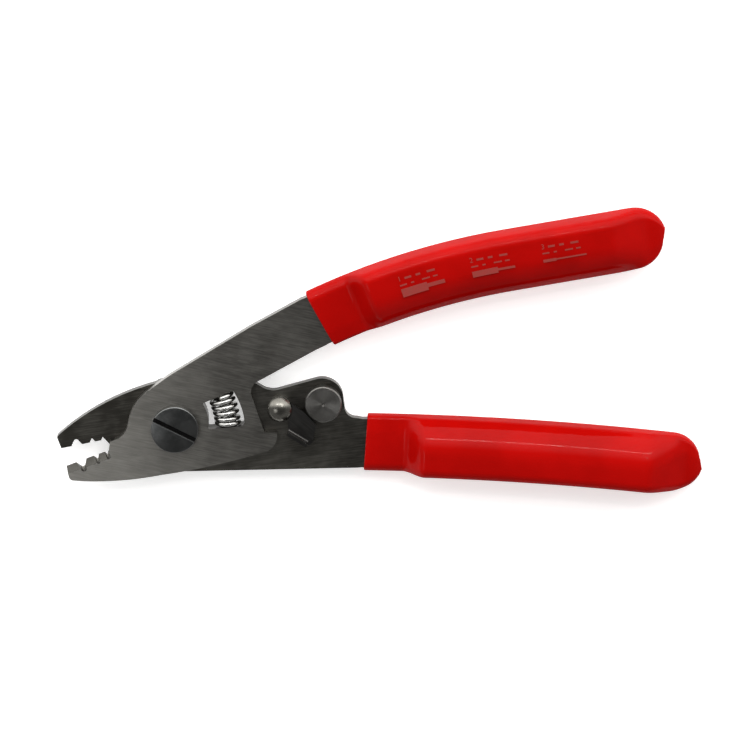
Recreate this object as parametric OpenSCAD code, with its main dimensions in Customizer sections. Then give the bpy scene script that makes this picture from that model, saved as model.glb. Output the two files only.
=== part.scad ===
// Three-hole fibre stripper: two steel levers on a pivot screw, with jaws that
// lap over each other, a return spring, a closing stop, a latch and dipped grips.
// It lies on its back. The pivot axis is Z, the handles run along +X.
// The front lever is drawn with the jaws closed and is turned open by open_angle.

/* [Opening] */
// Angle that the handles stand open at rest
open_angle = 13.4; // [12:0.1:15]
// Face-to-face gap between two plates that slide on each other
slide_gap = 0.05; // [0.03:0.01:0.1]

/* [Levers] */
// Thickness of each lever plate
lever_t = 2.5; // [2:0.1:3]
// Radius of the round hub about the pivot
hub_r = 12; // [11.5:0.1:12.5]
// Width of the front lever's tang inside its grip
front_tang_w = 13.5; // [13:0.1:14]
// Width of the rear lever's tang inside its grip
rear_tang_w = 12.9; // [12.5:0.1:13.4]
// Height of the flange folded up along the outer edge of each tang
flange_h = 8.8; // [8:0.1:9.5]

/* [Jaws] */
// Reach of the jaws from the pivot
jaw_reach = 29.8; // [29:0.1:31]
// Angle of the stripping line below the -X direction
jaw_tilt = 9.6; // [8:0.1:11]
// Height of the stripping line above the pivot
jaw_offset = 0.05; // [0:0.05:0.3]
// Angle by which the closed jaws lap over each other
lap_angle = 4.2; // [3.6:0.1:4.6]
// Width of the ground bevel behind each cutting edge
bevel_w = 1.6; // [1.3:0.1:1.9]
// Thickness left at the cutting edge
edge_land = 0.3; // [0.2:0.05:0.5]
// Angle between the two sides of a notch
notch_angle = 66; // [56:2:76]
// Angle at which the relief behind each notch runs away from it
relief_angle = 22; // [16:1:26]
// Hole for the outer jacket
jacket_hole_d = 1.3; // [1:0.05:1.5]
// Distance of the jacket hole from the pivot
jacket_hole_at = 25.7; // [25:0.1:26.3]
// Hole for the tight buffer
buffer_hole_d = 0.35; // [0.2:0.05:0.5]
// Distance of the buffer hole from the pivot
buffer_hole_at = 21.6; // [21.2:0.1:22]
// Hole for the fibre coating
coating_hole_d = 0.16; // [0.14:0.01:0.2]
// Distance of the coating hole from the pivot
coating_hole_at = 18.8; // [18.6:0.1:19]

/* [Pivot] */
// Diameter of the screw head
pivot_head_d = 12.2; // [11:0.1:13]
// Height of the screw head
pivot_head_h = 1.8; // [1.5:0.1:2.2]
// Diameter of the shoulder that the levers turn on
pivot_d = 6; // [5:0.1:7]
// Diameter of the threaded end
pivot_thread_d = 5; // [4:0.1:5]
// Width of the screwdriver slot
slot_w = 0.9; // [0.7:0.1:1.2]
// Depth of the screwdriver slot
slot_depth = 1.1; // [0.8:0.1:1.3]
// Direction of the screwdriver slot
slot_angle = -27; // [-60:1:60]
// Radial clearance of a turning fit
turn_fit = 0.05; // [0.03:0.01:0.09]
// Distance across the flats of the pivot nut
pivot_nut_af = 10; // [9:0.5:11]
// Height of the pivot nut
pivot_nut_h = 2.6; // [2.3:0.1:3]
// Diameter of the washer under the pivot nut
pivot_washer_d = 11.6; // [11:0.1:12]
// Thickness of that washer
pivot_washer_t = 0.6; // [0.5:0.1:0.8]

/* [Return spring] */
// Wire diameter of the spring
wire_d = 1.1; // [0.9:0.05:1.2]
// Outer diameter of the spring
spring_d = 6.9; // [6.6:0.1:7]
// Number of turns
spring_turns = 4.75; // [4.25:0.25:5]
// Inner radius of the window that holds the spring
window_r_in = 8.6; // [8.2:0.1:9]
// Outer radius of that window
window_r_out = 18; // [18:0.1:18.3]
// Clearance between the spring and the outer side of the window
spring_side_gap = 0.43; // [0.2:0.01:0.6]
// Height of the half-round post inside each end of the spring
post_h = 1.1; // [0.8:0.1:1.4]

/* [Latch] */
// Angle that the latch swings through to lock the closed handles
latch_swing = 52; // [50:1:54]
// Thickness of the latch plate
latch_t = 0.8; // [0.7:0.05:1]
// Radius of the latch plate round its rivet
latch_eye_r = 3.1; // [2.9:0.1:3.3]
// Height of the thumb lip above the plate
lip_h = 2.6; // [2:0.1:3]
// Clearance of the latch claw and rim to what they pass
latch_gap = 0.12; // [0.08:0.01:0.2]
// Diameter of the rivet head
rivet_head_d = 6.5; // [6.2:0.1:7]
// Height of the domed rivet head
rivet_head_h = 1.8; // [1.5:0.1:2]
// Diameter of the rivet shank
rivet_d = 3; // [2.6:0.1:3.2]
// Diameter of the spacer between the rear lever and the latch
spacer_d = 5.4; // [5:0.1:5.8]

/* [Closing stop] */
// Diameter of the stop disc
stop_d = 9.4; // [9:0.1:9.6]
// Height of the stop disc above the rear lever
stop_h = 3; // [2.8:0.1:3.4]
// Distance of the stop along the closed front lever
stop_at = 38.4; // [38:0.1:38.8]
// Diameter of the stop's shank
stop_shank_d = 4; // [3.6:0.1:4.4]
// Offset of the disc from its shank, for setting the stop
stop_eccentric = 0.5; // [0.3:0.1:0.7]
// Distance across the flats of the stop nut
stop_nut_af = 7; // [6.5:0.5:7.5]
// Height of the stop nut
stop_nut_h = 2.2; // [2:0.1:2.3]
// Thickness of the washer under the stop nut
stop_washer_t = 0.5; // [0.4:0.1:0.6]

/* [Grips] */
// Wall of the dipped grip
grip_wall = 1; // [0.8:0.05:1.2]
// Length of the front grip along its centre line
front_grip_len = 91.3; // [88:1:94]
// Length of the rear grip along its centre line
rear_grip_len = 86.5; // [83:0.5:90]
// Width of the sloping side of the grip
grip_slope = 4; // [3:0.1:5]
// Gap between the grip and the steel inside it
grip_fit = 0.02; // [0.01:0.01:0.05]

/* [Hidden] */
$fn = 96;
eps = 0.01;

// Heights of the layers, from the pivot nut's flush end upwards
rear_z = pivot_nut_h + pivot_washer_t;
mating_z = rear_z + lever_t;
front_z = mating_z + slide_gap;
front_top_z = front_z + lever_t;
head_z = front_top_z + slide_gap;
latch_z = front_top_z + 2 * slide_gap;
rivet_head_z = latch_z + latch_t + slide_gap;

// ---- Plane geometry ----

function unit(v) = v / norm(v);
function polar(r, angle) = r * [cos(angle), sin(angle)];
function xy(p) = [p[0], p[1]];

// Points of an arc about a centre
function arc(centre, r, from, to, n = 12) =
    [for (i = [0:n]) centre + polar(r, from + (to - from) * i / n)];

// Points of a shallow arc from p to q that bulges to the right by rise
function bow(p, q, rise, n = 8) =
    let (chord = norm(q - p),
         r = (chord * chord / 4 + rise * rise) / (2 * abs(rise)),
         half = asin(chord / 2 / r),
         along = unit(q - p),
         out = sign(rise) * [along.y, -along.x],
         centre = (p + q) / 2 - out * (r - abs(rise)),
         middle = atan2(out.y, out.x),
         turn = sign(rise))
    arc(centre, r, middle - turn * half, middle + turn * half, n);

// Points of the fillet of radius r at corner c between p and q, in n steps or by its angle
function fillet(p, c, q, r, n = 0) =
    let (u = unit(p - c), v = unit(q - c),
         half = acos(u * v) / 2,
         centre = c + unit(u + v) * r / sin(half),
         start = c + u * r / tan(half) - centre,
         from = atan2(start.y, start.x),
         sweep = (cross(c - p, q - c) > 0 ? 1 : -1) * (180 - 2 * half))
    arc(centre, r, from, from + sweep, n > 0 ? n : max(3, ceil(abs(sweep) / 9)));

// Outline from corners [x, y, fillet radius]; a corner with no radius stays sharp
function rounded(corners, n = 0) =
    let (m = len(corners))
    [for (i = [0:m - 1])
        let (c = corners[i], r = len(c) > 2 ? c[2] : 0)
        each r > 0
            ? fillet(xy(corners[(i + m - 1) % m]), xy(c), xy(corners[(i + 1) % m]), r, n)
            : [xy(c)]];

// ---- Handle lines: a clockwise arc, then straight on ----
// [start point, start heading, arc radius, angle turned through, side of the outer edge]

front_bend_r = 185;
front_bend = 15.8;
rear_bend_r = 830;
rear_bend = 6;
front_line = [[43, 19.5], 12.4, front_bend_r, front_bend, 1];
rear_line = [[49, -4.65], -1, rear_bend_r, rear_bend, -1];

function bend_length(line) = line[2] * line[3] * PI / 180;
function heading(line, s) = line[1] - min(s / bend_length(line), 1) * line[3];
function on_line(line, s) =
    let (bent = min(s, bend_length(line)), end = heading(line, s), r = line[2])
    line[0]
        + r * [sin(line[1]) - sin(end), cos(end) - cos(line[1])]
        + (s - bent) * [cos(end), sin(end)];
// Point at distance s along the line and v to its left
function beside(line, s, v) =
    on_line(line, s) + v * [-sin(heading(line, s)), cos(heading(line, s))];
function side_of(line, v, from, to, n) =
    [for (i = [0:n]) beside(line, from + (to - from) * i / n, v)];

// Strip along the line between two offsets from it
module strip(line, v0, v1, from, to, n = 18) {
    polygon(concat(side_of(line, v0, from, to, n), side_of(line, v1, to, from, n)));
}

// ---- Jaws ----

// Point on the stripping line, u from the pivot and v above the line, jaws closed
function jaw_point(u, v) =
    let (along = polar(1, 180 + jaw_tilt), up = polar(1, 90 + jaw_tilt))
    u * along + (v + jaw_offset) * up;
// Height of a cutting edge at u: side is -1 for the rear jaw and 1 for the front jaw
function edge_v(side, u) = side * u * tan(lap_angle / 2);
function edge_point(side, u) = jaw_point(u, edge_v(side, u));

holes = [
    [jacket_hole_at, jacket_hole_d],
    [buffer_hole_at, buffer_hole_d],
    [coating_hole_at, coating_hole_d],
];
rear_root_u = 19.1;
front_root_u = 18.1;
cut = 3;

// Plan of the notches in one jaw: round-bottomed vees on the stripping line
module notches(side) {
    flank = notch_angle / 2;
    for (hole = holes) {
        r = hole[1] / 2;
        mouth_v = edge_v(1, hole[0]) + cut;
        mouth_w = (r / sin(flank) + mouth_v) * tan(flank);
        translate(jaw_point(hole[0], 0))
            rotate(jaw_tilt)
                mirror([0, side < 0 ? 1 : 0]) {
                    circle(r, $fn = 32);
                    polygon([
                        [-mouth_w, mouth_v], [mouth_w, mouth_v],
                        [r * cos(flank), -r * sin(flank)], [-r * cos(flank), -r * sin(flank)],
                    ]);
                }
    }
}

// Sloping relief channels behind the notches, starting at the land round each hole
relief_land = edge_land + 0.05;
relief_step = 0.06;
function relief_r(hole_d) = 0.375 + 0.3 * hole_d;
module reliefs(side, mating_plane_z) {
    for (hole = holes) {
        r = relief_r(hole[1]);
        floor_depth = hole[1] / 2 + relief_step;
        translate(concat(jaw_point(hole[0], 0), mating_plane_z))
            rotate([side > 0 ? 0 : 180, 0, jaw_tilt])
                intersection() {
                    translate([0, r / cos(relief_angle) - floor_depth, relief_land])
                        rotate([relief_angle, 0, 0])
                            translate([0, 0, -cut])
                                linear_extrude(lever_t + 2 * cut) {
                                    circle(r, $fn = 32);
                                    translate([-r, 0]) square([2 * r, 2 * cut]);
                                }
                    translate([-cut, -cut, relief_land]) cube([2 * cut, 3 * cut, lever_t]);
                }
    }
}

// Ground bevel behind a cutting edge, leaving a thin land on the mating plane
module bevel(side, mating_plane_z, root_u) {
    face = side > 0 ? 1 : -1;
    lean = jaw_tilt - side * lap_angle / 2;
    reach = jaw_reach - root_u + cut;
    translate(concat(edge_point(side, root_u), mating_plane_z))
        rotate([0, 0, 180 + lean])
            rotate([90, 0, 90])
                linear_extrude(reach)
                    polygon([
                        [-face * cut, face * edge_land], [0, face * edge_land],
                        [face * bevel_w, face * (lever_t + eps)],
                        [-face * cut, face * (lever_t + eps)],
                    ]);
}

// ---- Spring window, alike in both levers when the handles are open ----

window_top = [[7.1, 6.6], [15.1, 10.02]];
window_bottom = [[8.5, -0.3], [17.6, 0.6]];
function angle_of(p) = atan2(p.y, p.x);
// Where two lines, each through two points, cross
function crossing(a, b) =
    let (u = a[1] - a[0], v = b[1] - b[0])
    a[0] + u * cross(b[0] - a[0], v) / cross(u, v);

// The spring bends on an arc about the point where the two seats would meet
spring_pole = crossing(window_bottom, window_top);
foot_angle = angle_of(window_bottom[1] - window_bottom[0]);
head_angle = angle_of(window_top[1] - window_top[0]);
spring_arc_r = norm(window_bottom[1] - spring_pole) - spring_d / 2 - spring_side_gap;
end_gap_angle = slide_gap / spring_arc_r * 180 / PI;

module window() {
    low_in = angle_of(window_bottom[0]);
    high_in = angle_of(window_top[0]);
    low_out = angle_of(window_bottom[1]);
    high_out = angle_of(window_top[1]);
    polygon(rounded(concat(
        [[each window_bottom[0], 0.4]],
        [[each window_bottom[1], 0.4]],
        arc([0, 0], window_r_out, low_out + 3, high_out - 3, 10),
        [[each window_top[1], 0.4]],
        [[each window_top[0], 0.4]],
        [for (i = [1:7])
            let (f = i / 8, r = window_r_in + (norm(window_top[0]) - window_r_in) * (1 - f))
            polar(r, high_in + (low_in - high_in) * f)]
    )));
}

// Half-round post on a seat, standing in the end of the spring within one lever's layer
module spring_post(seat_angle, turn, z) {
    post_r = spring_d / 2 - wire_d - 0.25;
    root = 1;
    at = spring_pole + polar(spring_arc_r, seat_angle);
    intersection() {
        translate([at.x, at.y, mating_z + slide_gap / 2])
            rotate([0, 0, seat_angle + turn])
                rotate([0, 90, 0])
                    translate([0, 0, -root])
                        cylinder(h = root + post_h, r = post_r, $fn = 48);
        translate([at.x - 2 * post_r, at.y - 2 * post_r, z])
            cube([4 * post_r, 4 * post_r, lever_t]);
    }
}

// ---- Front lever ----

// The neck's lower edge, which meets the stop when the handles close
neck_angle = 15.9;
neck_rise = 0.4;
function neck_edge(t) = polar(t, neck_angle) + polar(neck_rise, 90 + neck_angle);
neck_end_s = -2;

tail_centre = [20.65, -6.95];
tail_r = 4.6;
ledge_tip = tail_centre + polar(tail_r, -2.5);
tang_end = 6;
tang_corner_r = 4;

front_corners = concat(
    // Jaw end and the bottom edge up to the tail
    [edge_point(1, jaw_reach)],
    [[-29.5, -7.2, 1.2]],
    bow([-26, -8.3], [-6, -11.3], 0.6),
    bow([-5, -11.4], [19.5, -11.55], 0.45),
    arc(tail_centre, tail_r, -88, -9, 13),
    // Ledge that the latch hooks over, and the recess round the latch rivet
    [[each ledge_tip, 0.2]],
    [[22.15, -6.4, 0.6]],
    [[20.95, 6.4, 3.2]],
    // Neck, tang and back along the top edge
    [neck_edge(42)],
    [beside(front_line, neck_end_s, -front_tang_w / 2 - 0.1)],
    side_of(front_line, -front_tang_w / 2, neck_end_s + 1, front_grip_len - tang_end - tang_corner_r, 16),
    [[each beside(front_line, front_grip_len - tang_end, -front_tang_w / 2), tang_corner_r]],
    [[each beside(front_line, front_grip_len - tang_end, front_tang_w / 2), tang_corner_r]],
    side_of(front_line, front_tang_w / 2, front_grip_len - tang_end - tang_corner_r, neck_end_s + 1, 16),
    [beside(front_line, neck_end_s, front_tang_w / 2 + 0.1)],
    // Back, hub and jaw root
    [[25, 21.6, 90]],
    [[1.5, 13.75, 30]],
    arc([0, 0], hub_r, 114, 157, 11),
    [[-12.9, 0.75, 5]],
    [[-17.2, 0.4, 0.3]],
    [edge_point(1, front_root_u)]
);

// Steel flange folded up along the outer edge of a tang
flange_from = 15.5;
flange_tail = 14.2;
module flange(line, tang_w, len, z, spare = 0) {
    outer = line[4];
    v_out = outer * (tang_w / 2 + spare);
    v_in = outer * (tang_w / 2 - lever_t - spare);
    translate([0, 0, z])
        linear_extrude(flange_h + spare)
            strip(line, v_in, v_out, flange_from - spare, len - flange_tail + spare);
}

module front_lever() {
    color([0.56, 0.54, 0.5])
        rotate(open_angle)
            difference() {
                union() {
                    translate([0, 0, front_z])
                        linear_extrude(lever_t)
                            difference() {
                                polygon(rounded(front_corners));
                                rotate(-open_angle) window();
                                notches(1);
                            }
                    flange(front_line, front_tang_w, front_grip_len, front_z);
                    rotate(-open_angle)
                        spring_post(head_angle, -90, front_z);
                }
                bevel(1, front_z, front_root_u);
                reliefs(1, front_z);
                translate([0, 0, front_z - 1])
                    cylinder(h = lever_t + 2, d = pivot_d + 2 * turn_fit);
            }
}

// ---- Rear lever ----

latch_at = [27, 5.2];
stop_r = stop_d / 2;
stop_centre = neck_edge(stop_at) - polar(stop_r + slide_gap, 90 + neck_angle);
stop_shank_at = stop_centre - polar(stop_eccentric, neck_angle);
lobe_r = stop_r + 0.8;
lobe_centre = stop_centre + [-0.3, 0.75];

rear_corners = concat(
    // Jaw end and the back edge
    [edge_point(-1, jaw_reach)],
    [[-30.35, -3, 0.5]],
    bow([-29.5, -2.1], [-4.6, 11.4], -1.65, 12),
    arc([0, 0], hub_r + 0.5, 110, 88, 5),
    // Crotch behind the latch, lobe round the stop, and the neck
    [[19.5, 12, 3]],
    [[24.6, 9.05, 5]],
    arc(lobe_centre, lobe_r, 104, 14, 12),
    [[43.9, 2.3, 3]],
    [beside(rear_line, neck_end_s, rear_tang_w / 2 + 0.2)],
    side_of(rear_line, rear_tang_w / 2, neck_end_s + 1, rear_grip_len - tang_end - tang_corner_r, 14),
    [[each beside(rear_line, rear_grip_len - tang_end, rear_tang_w / 2), tang_corner_r]],
    [[each beside(rear_line, rear_grip_len - tang_end, -rear_tang_w / 2), tang_corner_r]],
    side_of(rear_line, -rear_tang_w / 2, rear_grip_len - tang_end - tang_corner_r, neck_end_s + 1, 14),
    [beside(rear_line, neck_end_s, -rear_tang_w / 2 - 0.1)],
    // Bottom edge, hub and jaw root
    [[2, -12.15, 12]],
    arc([0, 0], hub_r, 248, 216, 8),
    [[-12.2, -4.7, 2.6]],
    [[-17.1, -5.1, 0.3]],
    [edge_point(-1, rear_root_u)]
);

module rear_lever() {
    color([0.42, 0.4, 0.37])
        difference() {
            union() {
                translate([0, 0, rear_z])
                    linear_extrude(lever_t)
                        difference() {
                            polygon(rounded(rear_corners));
                            window();
                            notches(-1);
                        }
                flange(rear_line, rear_tang_w, rear_grip_len, rear_z);
                spring_post(foot_angle, 90, rear_z);
            }
            bevel(-1, mating_z, rear_root_u);
            reliefs(-1, mating_z);
            translate([0, 0, rear_z - 1]) {
                cylinder(h = lever_t + 2, d = pivot_d + 2 * grip_fit);
                translate(latch_at) cylinder(h = lever_t + 2, d = rivet_d + 2 * grip_fit);
                translate(stop_shank_at) cylinder(h = lever_t + 2, d = stop_shank_d + 2 * grip_fit);
            }
        }
}

// ---- Grips ----

thin_h = lever_t + 2 * grip_wall;
full_h = flange_h + 2 * grip_wall;
crown = 0.4;
// Slant of the cuff: its outer corner sits nearer the pivot
cuff_slant = 0.05;
slant_len = 8;
swell_len = 6;
swell_from = flange_from - swell_len;
fade_len = 11;
// Slant of the tip: its outer side reaches farther
tip_slant = 0.05;
tip_r = 7.8;

function ramp(x) = let (t = min(max(x, 0), 1)) t * t * (3 - 2 * t);
// Share of the full height at s: the grip swells over the flange
function swell(s, len) =
    ramp((s - swell_from) / swell_len) - ramp((s - len + flange_tail) / fade_len);
// Share of the full width at s: a rounded cuff edge and a round tip
function girth(s, len) =
    let (cuff = min(s / 0.5, 1), past = max(s - (len - tip_r), 0) / tip_r)
    (0.96 + 0.04 * sqrt(1 - (1 - cuff) * (1 - cuff))) * sqrt(1 - min(past * past, 0.97));

// Cross-section [v, z]: v grows towards the outer edge, z up from the flat back
function section(w, s, len) =
    let (full = swell(s, len),
         h = thin_h + crown + (full_h - thin_h - crown) * full,
         inner_h = thin_h - 0.2 + full)
    rounded([
        [-w, 0, 1.3], [w, 0, 1.6], [w, h, 2.7],
        [-w + grip_slope, h, 7], [-w, inner_h, 1.2]], 4);

function grip_ring(line, tang_w, len, s, z) =
    let (g = girth(s, len), mid = thin_h / 2, flat = 0.35 + 0.65 * g,
         slant = cuff_slant * max(0, 1 - s / slant_len)
             - tip_slant * max(0, 1 - (len - s) / slant_len))
    [for (p = section(tang_w / 2 + grip_wall + grip_fit, s, len))
        let (at = beside(line, s - slant * p.x, line[4] * p.x * g))
        [at.x, at.y, z + mid + (p.y - mid) * flat]];

// Stations along a grip, closer together where its form changes
function stations(len) = concat(
    [0, 0.12, 0.5, 3],
    [for (i = [0:6]) swell_from + swell_len * i / 6],
    [for (i = [1:8]) flange_from + (len - flange_tail - flange_from) * i / 8],
    [for (i = [1:7]) len - flange_tail + fade_len * i / 7],
    [for (i = [1:8]) len - tip_r + tip_r * sin(90 * i / 8)]
);

// Skin through the rings, closed by flat ends
module loft(rings) {
    n = len(rings[0]);
    m = len(rings);
    points = [for (ring = rings) each ring];
    sides = [for (j = [0:m - 2], i = [0:n - 1])
        let (a = j * n + i, b = j * n + (i + 1) % n)
        each [[a, b, b + n], [a, b + n, a + n]]];
    polyhedron(points, concat(
        sides,
        [[for (i = [n - 1:-1:0]) i]],
        [[for (i = [0:n - 1]) (m - 1) * n + i]]
    ));
}

module grip(line, tang_w, len, plate_z) {
    pocket = tang_w / 2 + grip_fit;
    difference() {
        loft([for (s = stations(len))
            let (ring = grip_ring(line, tang_w, len, s, plate_z - grip_wall))
            line[4] > 0 ? ring : [for (i = [len(ring) - 1:-1:0]) ring[i]]]);
        translate([0, 0, plate_z - grip_fit])
            linear_extrude(lever_t + 2 * grip_fit)
                strip(line, -pocket, pocket, -1, len - tang_end + grip_fit);
        flange(line, tang_w, len, plate_z, grip_fit);
    }
}

module rear_grip() {
    color([0.78, 0.03, 0.03]) grip(rear_line, rear_tang_w, rear_grip_len, rear_z);
}

module front_grip() {
    color([0.78, 0.03, 0.03])
        rotate(open_angle) grip(front_line, front_tang_w, front_grip_len, front_z);
}

// ---- Pivot ----

module pivot_screw() {
    chamfer = 0.3;
    color([0.33, 0.34, 0.34])
        difference() {
            union() {
                translate([0, 0, head_z])
                    rotate_extrude()
                        polygon([
                            [0, 0], [pivot_head_d / 2, 0],
                            [pivot_head_d / 2, pivot_head_h - chamfer],
                            [pivot_head_d / 2 - chamfer, pivot_head_h], [0, pivot_head_h],
                        ]);
                translate([0, 0, rear_z + slide_gap])
                    cylinder(h = head_z - rear_z - slide_gap, d = pivot_d);
                rotate_extrude()
                    polygon([
                        [0, 0], [pivot_thread_d / 2 - chamfer, 0], [pivot_thread_d / 2, chamfer],
                        [pivot_thread_d / 2, rear_z + slide_gap], [0, rear_z + slide_gap],
                    ]);
            }
            translate([0, 0, head_z + pivot_head_h - slot_depth])
                rotate(slot_angle)
                    translate([-pivot_head_d, -slot_w / 2, 0])
                        cube([2 * pivot_head_d, slot_w, slot_depth + 1]);
        }
}

module washer(d_out, d_in, t) {
    difference() {
        cylinder(h = t, d = d_out);
        translate([0, 0, -1]) cylinder(h = t + 2, d = d_in);
    }
}

module hex_nut(af, d_in, h) {
    difference() {
        intersection() {
            cylinder(h = h, d = af / cos(30), $fn = 6);
            rotate_extrude()
                polygon([
                    [0, 0], [af / 2, 0], [af / 2 + 1, 0.58], [af / 2 + 1, h], [0, h],
                ]);
        }
        translate([0, 0, -1]) cylinder(h = h + 2, d = d_in);
    }
}

module pivot_washer() {
    color([0.62, 0.62, 0.6])
        translate([0, 0, pivot_nut_h])
            washer(pivot_washer_d, pivot_thread_d + 0.4, pivot_washer_t);
}

module pivot_nut() {
    color([0.5, 0.5, 0.48])
        hex_nut(pivot_nut_af, pivot_thread_d + 2 * grip_fit, pivot_nut_h);
}

// ---- Return spring ----

module return_spring() {
    sides = 8;
    per_turn = 14;
    coil_r = (spring_d - wire_d) / 2;
    wire_angle = wire_d / spring_arc_r * 180 / PI;
    from = foot_angle + end_gap_angle + wire_angle / 2;
    to = head_angle - end_gap_angle - wire_angle / 2;
    steps = ceil(spring_turns * per_turn);
    // Angle of the wire's centre about the pole: close end turns, even pitch between
    function climb(turn) =
        let (step = wire_angle * 1.05)
        turn < 1 ? from + step * turn
            : turn > spring_turns - 1 ? to - step * (spring_turns - turn)
                : from + step
                    + (to - from - 2 * step) * (turn - 1) / (spring_turns - 2);
    color([0.7, 0.7, 0.68])
        translate([spring_pole.x, spring_pole.y, mating_z + slide_gap / 2])
            loft([for (k = [0:steps])
                let (turn = spring_turns * k / steps, a = 360 * turn, rise = climb(turn))
                [for (i = [0:sides - 1])
                    let (b = 360 * i / sides,
                         r = coil_r + wire_d / 2 * cos(b),
                         lift = rise + wire_angle / 2 * sin(b),
                         plan = polar(spring_arc_r + r * cos(a), lift))
                    [plan.x, plan.y, r * sin(a)]]]);
}

// ---- Latch ----

// Claw plan in the locked position, about the rivet
claw_r = norm(ledge_tip - latch_at) - 2 * latch_gap;
claw_depth = 1.8;
claw_from = 255.2;
claw_to = 264;
module claw_plan() {
    difference() {
        polygon(concat(
            arc([0, 0], claw_r, claw_from, claw_to, 6),
            arc([0, 0], claw_r - claw_depth, claw_to, claw_from, 6)
        ));
        rotate(open_angle)
            translate(tail_centre - turned(latch_at, -open_angle))
                circle(tail_r + latch_gap);
    }
}

function turned(p, a) = [p.x * cos(a) - p.y * sin(a), p.x * sin(a) + p.y * cos(a)];

lip_from = [29.1, -0.3];
lip_to = [34.1, -3.4];
bend_r = 0.5;

module latch_plate() {
    lip_dir = unit(lip_to - lip_from);
    color([0.45, 0.44, 0.42])
        difference() {
            union() {
                translate([0, 0, latch_z]) {
                    translate(latch_at) cylinder(h = latch_t, r = latch_eye_r);
                    linear_extrude(latch_t)
                        polygon(rounded([
                            [28.2, 8, 0], [32.9, 4.8, 0.6], [36.2, 1.2, 0.5], [35.7, -2.7, 0.6],
                            [each lip_to, 0], [each lip_from, 0], [29.1, 2.8, 0.5],
                            [26, 2.5, 0],
                        ]));
                }
                translate([lip_from.x, lip_from.y, latch_z])
                    rotate(angle_of(lip_dir))
                        lip(norm(lip_to - lip_from));
                translate([latch_at.x, latch_at.y, front_z + slide_gap])
                    rotate(latch_swing)
                        linear_extrude(latch_z - front_z - slide_gap + eps)
                            claw_plan();
            }
            translate([latch_at.x, latch_at.y, latch_z - 1])
                cylinder(h = latch_t + 2, d = rivet_d + 2 * turn_fit);
            translate([stop_centre.x, stop_centre.y, latch_z - 1])
                cylinder(h = latch_t + 2, r = stop_r + latch_gap);
        }
}

// Thumb lip: the plate's edge bent up on a radius, along +X
module lip(length) {
    rotate([90, 0, 90])
        linear_extrude(length)
            polygon(concat(
                [[bend_r + latch_t, 0]],
                arc([bend_r, bend_r + latch_t] , bend_r + latch_t, 270, 180, 6),
                [[-latch_t, latch_t + lip_h], [0, latch_t + lip_h]],
                arc([bend_r, bend_r + latch_t], bend_r, 180, 270, 4),
                [[bend_r + latch_t, latch_t]]
            ));
}

module latch_rivet() {
    tail_t = 0.7;
    dome_r = (pow(rivet_head_d / 2, 2) + pow(rivet_head_h, 2)) / (2 * rivet_head_h);
    color([0.8, 0.79, 0.76])
        translate([latch_at.x, latch_at.y, 0]) {
            translate([0, 0, rivet_head_z])
                intersection() {
                    translate([0, 0, rivet_head_h - dome_r]) sphere(dome_r);
                    cylinder(h = rivet_head_h, d = rivet_head_d + 1);
                }
            translate([0, 0, rear_z - eps])
                cylinder(h = rivet_head_z - rear_z + 2 * eps, d = rivet_d);
            translate([0, 0, rear_z - tail_t])
                cylinder(h = tail_t, d = rivet_head_d - 1);
        }
}

module latch_spacer() {
    color([0.6, 0.6, 0.58])
        translate([latch_at.x, latch_at.y, mating_z])
            washer(spacer_d, rivet_d + 2 * grip_fit, latch_z - slide_gap - mating_z);
}

// ---- Closing stop ----

module stop_disc() {
    chamfer = 0.25;
    dimple_r = 0.4;
    color([0.36, 0.35, 0.33]) {
        translate([stop_centre.x, stop_centre.y, mating_z])
            rotate_extrude()
                polygon([
                    [0, 0], [stop_r, 0], [stop_r, stop_h - chamfer],
                    [stop_r - chamfer, stop_h], [dimple_r, stop_h],
                    [0, stop_h - dimple_r],
                ]);
        translate([stop_shank_at.x, stop_shank_at.y, rear_z - stop_washer_t - stop_nut_h])
            cylinder(h = mating_z - rear_z + stop_washer_t + stop_nut_h + eps, d = stop_shank_d);
    }
}

module stop_washer() {
    color([0.62, 0.62, 0.6])
        translate([stop_shank_at.x, stop_shank_at.y, rear_z - stop_washer_t])
            washer(stop_nut_af + 1, stop_shank_d + 0.3, stop_washer_t);
}

module stop_nut() {
    color([0.5, 0.5, 0.48])
        translate([stop_shank_at.x, stop_shank_at.y, rear_z - stop_washer_t - stop_nut_h])
            hex_nut(stop_nut_af, stop_shank_d + 2 * grip_fit, stop_nut_h);
}

rear_lever();
front_lever();
rear_grip();
front_grip();
pivot_screw();
pivot_washer();
pivot_nut();
return_spring();
latch_plate();
latch_rivet();
latch_spacer();
stop_disc();
stop_washer();
stop_nut();
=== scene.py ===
"""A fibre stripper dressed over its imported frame: ground levers, dipped grips and turned hardware."""

import logging
import math
from dataclasses import dataclass, field
from enum import Enum
from typing import Callable, Iterable, Sequence

import bmesh
import bpy
from mathutils import Matrix, Vector

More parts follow.
